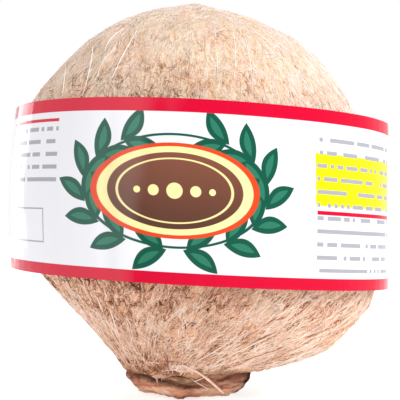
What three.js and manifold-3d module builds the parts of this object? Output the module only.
// A husked mature coconut with a printed film band wound round its middle.
// It stands on the flat of the woody fibre tuft that is left at its stem end.
// Millimetres, +Z up. The origin is on that flat, below the nut's apex, and the band's printed front faces -Y.

import * as THREE from "three";
import { mergeVertices } from "three/addons/utils/BufferGeometryUtils.js";
import Module from "manifold-3d";

const wasm = await Module();
wasm.setup();

// The nut's outline seen from the front, from the apex down: [height, left edge, right edge].
const OUTLINE = [
  [110.4, -1.6, -1.2],
  [108.2, -13.8, 8.4],
  [104.8, -23.0, 18.4],
  [98.2, -32.8, 29.2],
  [91.5, -39.4, 36.0],
  [84.8, -45.2, 40.4],
  [78.8, -48.6, 43.8],
  [68.8, -51.8, 49.8],
  [54.6, -52.7, 52.6],
  [43.5, -51.0, 52.4],
  [34.7, -44.2, 50.8],
  [26.8, -36.8, 48.0],
  [20.1, -30.6, 43.2],
  [13.4, -24.8, 36.0],
  [9.6, -22.2, 26.8],
  [7.2, -20.4, 15.0],
  [5.6, -3.8, -3.6],
];
const DEPTH_SHARE = 0.99;
const NUT_COLUMNS = 90;
const NUT_ROWS = 46;

// A coconut has three blunt ridges, strongest towards the stem end: one points right, one front left, one back left.
const RIDGES = 3;
const RIDGE_AT_APEX = 0.015;
const RIDGE_AT_STEM = 0.05;
const RIDGE_FADES_FROM = 20;
const RIDGE_FADES_TO = 95;
const APEX_TIP_HEIGHT = 1.3;
const APEX_TIP_SPREAD = 4.5;

// The matted fibre stands in broken runs along the meridians, and lies flat under the band and at both ends.
const FIBRE_RELIEF = 0.9;
const FIBRE_RELIEF_UNDER_BAND = 0.2;
const FIBRE_RUNS_AROUND = 45;
const FIBRE_RUNS_ALONG = 9;
const LONG_RUN_SHARE = 0.65;
const BAND_SHELTERS_TO = 0.75;
const BAND_SHELTER_ENDS = 1.1;
const POLES_FLAT_TO = 0.3;

// The woody tuft at the stem end: [radius, height] from the middle of its flat, out and up into the nut.
const TUFT_PROFILE = [
  [0, 0],
  [11.8, 0],
  [13.8, 0.8],
  [15.9, 2.6],
  [18.0, 5.2],
  [17.9, 6.8],
  [15.0, 8.0],
  [0, 9.6],
];
const TUFT_CENTRE_X = -3.4;
const TUFT_COLUMNS = 44;

// The frayed rim's waves: [how many in a turn, height as a share of the radius, phase].
const TUFT_WAVES = [
  [2, 0.033, 0.4],
  [3, 0.0165, -1.1],
  [7, 0.0275, 2.0],
  [11, 0.022, 0],
];

// Coarse single fibres: a few long ribs above the band, and more that sweep down into the tuft.
const RIB_RADIUS = 0.75;
const RIB_SIDES = 4;
const RIB_STEPS = 8;
const RIB_SINK = 0.25;
const RIB_DIVE = 1.2;
const RIB_SCATTER = 0.6;
const RIB_START_SPREAD = 0.04;
const RIB_LEAN = 0.1;
const UPPER_RIBS = { count: 11, from: 0.14, to: 0.325, firstAzimuth: 200, seed: 7 };
const LOWER_RIBS = { count: 13, from: 0.7, to: 0.9, firstAzimuth: 196, seed: 23 };

// One loose fibre crosses the tuft's front.
const LOOSE_FIBRE = [
  [-8.4, -20.6, 11.4],
  [-4.2, -20.0, 9.2],
  [-0.4, -18.9, 6.6],
  [3.4, -17.2, 3.6],
  [6.0, -14.6, 1.4],
];

// The band: a strip of laminated film, wound a little askew so that its edges fall towards the right.
const BAND_THICKNESS = 0.5;
const BAND_GAP = 0.45;
const BAND_TOP = 77.5;
const BAND_BOTTOM = 33.2;
const BAND_TOP_FALL = 0.034;
const BAND_BOTTOM_FALL = 0.0575;
const BAND_WAIST_HEIGHT = 54;
const BAND_BARREL_LEFT = 1.7;
const BAND_BARREL_RIGHT = 0.5;
const BAND_COLUMNS = 80;
const BAND_STEPS = 4;

// The strip's outer end laps over the inner one at the back, between these azimuths in degrees.
const LAP_START = 78;
const LAP_END = 91;
const LAP_STEP = 0.35;
const LAP_EDGE_WIDTH = 0.3;

const NUT_COLOUR = 0xcda582;
const BAND_COLOUR = 0xf2f0f0;

const DEGREE = Math.PI / 180;
const outlineCurve = new THREE.CatmullRomCurve3(
  OUTLINE.map(([height, left, right]) => new THREE.Vector3(left, right, height)),
  false,
  "centripetal",
);
outlineCurve.arcLengthDivisions = 400;

// A repeatable random value from 0 to 1 for a pair of whole numbers.
function scatter(i, j) {
  const wave = Math.sin(i * 127.1 + j * 311.7 + 17.3) * 43758.5453;
  return wave - Math.floor(wave);
}

// Smooth noise from -1 to 1 that repeats after a whole turn.
function turnNoise(turn, along, cellsAround, cellsAlong, seed) {
  const a = turn * cellsAround;
  const b = along * cellsAlong;
  const column = Math.floor(a);
  const row = Math.floor(b);
  const across = THREE.MathUtils.smoothstep(a - column, 0, 1);
  const down = THREE.MathUtils.smoothstep(b - row, 0, 1);
  const at = (i, j) => scatter(THREE.MathUtils.euclideanModulo(i, cellsAround), j + seed);
  const upper = THREE.MathUtils.lerp(at(column, row), at(column + 1, row), across);
  const lower = THREE.MathUtils.lerp(at(column, row + 1), at(column + 1, row + 1), across);
  return 2 * THREE.MathUtils.lerp(upper, lower, down) - 1;
}

// The middle, radius and ridge strength of the nut's level section at a share of the way down its outline.
function sectionAt(share) {
  const { x: left, y: right, z: height } = outlineCurve.getPointAt(share);
  const radius = (right - left) / 2;
  const towardsApex = THREE.MathUtils.smoothstep(height, RIDGE_FADES_FROM, RIDGE_FADES_TO);
  const ridge = THREE.MathUtils.lerp(RIDGE_AT_STEM, RIDGE_AT_APEX, towardsApex);
  return { height, radius, ridge, middle: (left + right) / 2 - ridge * radius };
}

// A point of the nut's smooth form, pushed out by so many millimetres.
function nutPoint(azimuth, share, out) {
  const { height, radius, ridge, middle } = sectionAt(share);
  const outward = out * Math.sin(Math.PI * share);
  const upward = out * Math.cos(Math.PI * share);
  const reach = radius * (1 + ridge * Math.cos(RIDGES * azimuth)) + outward;
  const tip = share < 0.5 ? APEX_TIP_HEIGHT * Math.exp(-((radius / APEX_TIP_SPREAD) ** 2)) : 0;
  return new THREE.Vector3(
    middle + reach * Math.cos(azimuth),
    reach * Math.sin(azimuth) * DEPTH_SHARE,
    height + tip + upward,
  );
}

// How far the fibre stands off the nut's smooth form.
function fibreRelief(azimuth, share) {
  const turn = azimuth / (2 * Math.PI);
  const long = turnNoise(turn, share, FIBRE_RUNS_AROUND, FIBRE_RUNS_ALONG, 3);
  const short = turnNoise(turn, share, FIBRE_RUNS_AROUND * 2, FIBRE_RUNS_ALONG * 2, 50);
  const fromWaist = Math.abs(sectionAt(share).height - BAND_WAIST_HEIGHT) / (BAND_TOP - BAND_WAIST_HEIGHT);
  const free = THREE.MathUtils.smoothstep(fromWaist, BAND_SHELTERS_TO, BAND_SHELTER_ENDS);
  const offPoles = THREE.MathUtils.smoothstep(Math.sin(Math.PI * share), 0, POLES_FLAT_TO);
  const height = THREE.MathUtils.lerp(FIBRE_RELIEF_UNDER_BAND, FIBRE_RELIEF, free) * offPoles;
  return height * THREE.MathUtils.lerp(short, long, LONG_RUN_SHARE);
}

// A geometry with its seams welded, so that only its positions and faces are left.
function welded(geometry) {
  geometry.deleteAttribute("normal");
  geometry.deleteAttribute("uv");
  return mergeVertices(geometry, 1e-4);
}

function solidOf(geometry) {
  const { position } = geometry.attributes;
  const triVerts = new Uint32Array(geometry.index.array);
  return new wasm.Manifold(new wasm.Mesh({ numProp: 3, vertProperties: position.array, triVerts }));
}

function geometryOf(solid) {
  const { vertProperties, triVerts } = solid.getMesh();
  const geometry = new THREE.BufferGeometry();
  geometry.setAttribute("position", new THREE.BufferAttribute(vertProperties, 3));
  geometry.setIndex(new THREE.BufferAttribute(triVerts, 1));
  geometry.computeVertexNormals();
  return geometry;
}

// Moves every vertex of a geometry to the point that a function gives for it.
function reshape(geometry, move) {
  const position = geometry.getAttribute("position");
  const point = new THREE.Vector3();
  for (let i = 0; i < position.count; i++) {
    const moved = move(point.fromBufferAttribute(position, i));
    position.setXYZ(i, moved.x, moved.y, moved.z);
  }
  return geometry;
}

// Spheres and lathes are made about the Y axis: this is a point's azimuth once Y is turned up to Z.
function azimuthAboutY(point) {
  return Math.atan2(-point.z, point.x);
}

// The nut's body: a sphere's grid laid on the nut's form, with the fibre's relief.
function nutBody() {
  const sphere = welded(new THREE.SphereGeometry(1, NUT_COLUMNS, NUT_ROWS));
  return reshape(sphere, (point) => {
    const azimuth = azimuthAboutY(point);
    const share = Math.acos(point.y) / Math.PI;
    return nutPoint(azimuth, share, fibreRelief(azimuth, share));
  });
}

// The tuft: a turned button with a frayed, uneven rim over a true flat.
function tuft() {
  const profile = TUFT_PROFILE.map(([radius, height]) => new THREE.Vector2(radius, height));
  const button = welded(new THREE.LatheGeometry(profile, TUFT_COLUMNS));
  return reshape(button, (point) => {
    const azimuth = azimuthAboutY(point);
    const waves = TUFT_WAVES.map(([count, share, phase]) => share * Math.cos(count * azimuth + phase));
    const reach = Math.hypot(point.x, point.z) * waves.reduce((sum, wave) => sum + wave, 1);
    return new THREE.Vector3(
      TUFT_CENTRE_X + reach * Math.cos(azimuth),
      reach * Math.sin(azimuth) * DEPTH_SHARE,
      point.y,
    );
  });
}

// A square strand along a list of points.
function strand(points) {
  const corners = Array.from({ length: RIB_SIDES }, (_, i) => ((i + 0.5) / RIB_SIDES) * 2 * Math.PI);
  const section = new THREE.Shape(
    corners.map((turn) => new THREE.Vector2(RIB_RADIUS * Math.cos(turn), RIB_RADIUS * Math.sin(turn))),
  );
  const extrudePath = new THREE.CatmullRomCurve3(points);
  return welded(new THREE.ExtrudeGeometry(section, { steps: RIB_STEPS, extrudePath, bevelEnabled: false }));
}

// Ribs that follow the meridians all round, each with its own length, lean and place, and both ends sunk in.
function ribs({ count, from, to, firstAzimuth, seed }) {
  return Array.from({ length: count }, (_, i) => {
    const azimuth = (firstAzimuth + (360 * (i + RIB_SCATTER * scatter(i, seed))) / count) * DEGREE;
    const start = from + RIB_START_SPREAD * scatter(i, seed + 1);
    const lean = RIB_LEAN * (scatter(i, seed + 2) - 0.5);
    const points = Array.from({ length: RIB_STEPS }, (_, k) => {
      const way = k / (RIB_STEPS - 1);
      const dive = RIB_SINK + RIB_DIVE * (2 * way - 1) ** 6;
      return nutPoint(azimuth + lean * way, THREE.MathUtils.lerp(start, to, way), -dive);
    });
    return strand(points);
  });
}

function coconut() {
  const loose = strand(LOOSE_FIBRE.map((point) => new THREE.Vector3(...point)));
  return [tuft(), ...ribs(UPPER_RIBS), ...ribs(LOWER_RIBS), loose]
    .map(solidOf)
    .reduce((whole, piece) => whole.add(piece), solidOf(nutBody()));
}

// The band's level section follows the nut's widest one, with a gap, and is thicker along the lap.
function bandSection({ radius, ridge, middle }) {
  const onWall = (azimuth, out) => {
    const turn = azimuth * DEGREE;
    const gap = FIBRE_RELIEF_UNDER_BAND + BAND_GAP;
    const reach = radius * (1 + ridge * Math.cos(RIDGES * turn)) + gap + out;
    return new THREE.Vector2(middle + reach * Math.cos(turn), reach * Math.sin(turn) * DEPTH_SHARE);
  };
  const even = Array.from({ length: BAND_COLUMNS }, (_, i) => (i * 360) / BAND_COLUMNS);
  const lapEdges = [LAP_START, LAP_START + LAP_EDGE_WIDTH, LAP_END, LAP_END + LAP_EDGE_WIDTH];
  const clear = even.filter((azimuth) => lapEdges.every((edge) => Math.abs(edge - azimuth) > 1));
  const around = [...clear, ...lapEdges].sort((a, b) => a - b);
  const lapped = (azimuth) => azimuth > LAP_START && azimuth <= LAP_END;
  const section = new THREE.Shape(around.map((a) => onWall(a, BAND_THICKNESS + (lapped(a) ? LAP_STEP : 0))));
  section.holes.push(new THREE.Path(even.map((azimuth) => onWall(azimuth, 0))));
  return section;
}

// The band stands upright, cut askew at both edges and drawn in a little above and below its waist.
function band() {
  const shares = Array.from({ length: 101 }, (_, i) => i / 100);
  const widest = shares.map(sectionAt).reduce((a, b) => (a.radius > b.radius ? a : b));
  const settings = { depth: 1, steps: BAND_STEPS, bevelEnabled: false };
  const wall = welded(new THREE.ExtrudeGeometry(bandSection(widest), settings));
  return reshape(wall, (point) => {
    const top = BAND_TOP - BAND_TOP_FALL * point.x;
    const bottom = BAND_BOTTOM - BAND_BOTTOM_FALL * point.x;
    const height = THREE.MathUtils.lerp(bottom, top, point.z);
    const rightward = (1 + Math.cos(Math.atan2(point.y, point.x))) / 2;
    const barrel = THREE.MathUtils.lerp(BAND_BARREL_LEFT, BAND_BARREL_RIGHT, rightward);
    const offWaist = (height - BAND_WAIST_HEIGHT) / (BAND_TOP - BAND_WAIST_HEIGHT);
    const keep = 1 - (barrel * offWaist * offWaist) / widest.radius;
    return new THREE.Vector3(point.x * keep, point.y * keep, height);
  });
}

function named(name, geometry, colour, roughness) {
  const mesh = new THREE.Mesh(geometry, new THREE.MeshStandardMaterial({ color: colour, roughness, metalness: 0 }));
  mesh.name = name;
  return mesh;
}

const group = new THREE.Group();
group.add(named("coconut", geometryOf(coconut()), NUT_COLOUR, 0.9));
group.add(named("label_band", geometryOf(solidOf(band())), BAND_COLOUR, 0.25));

export default group;
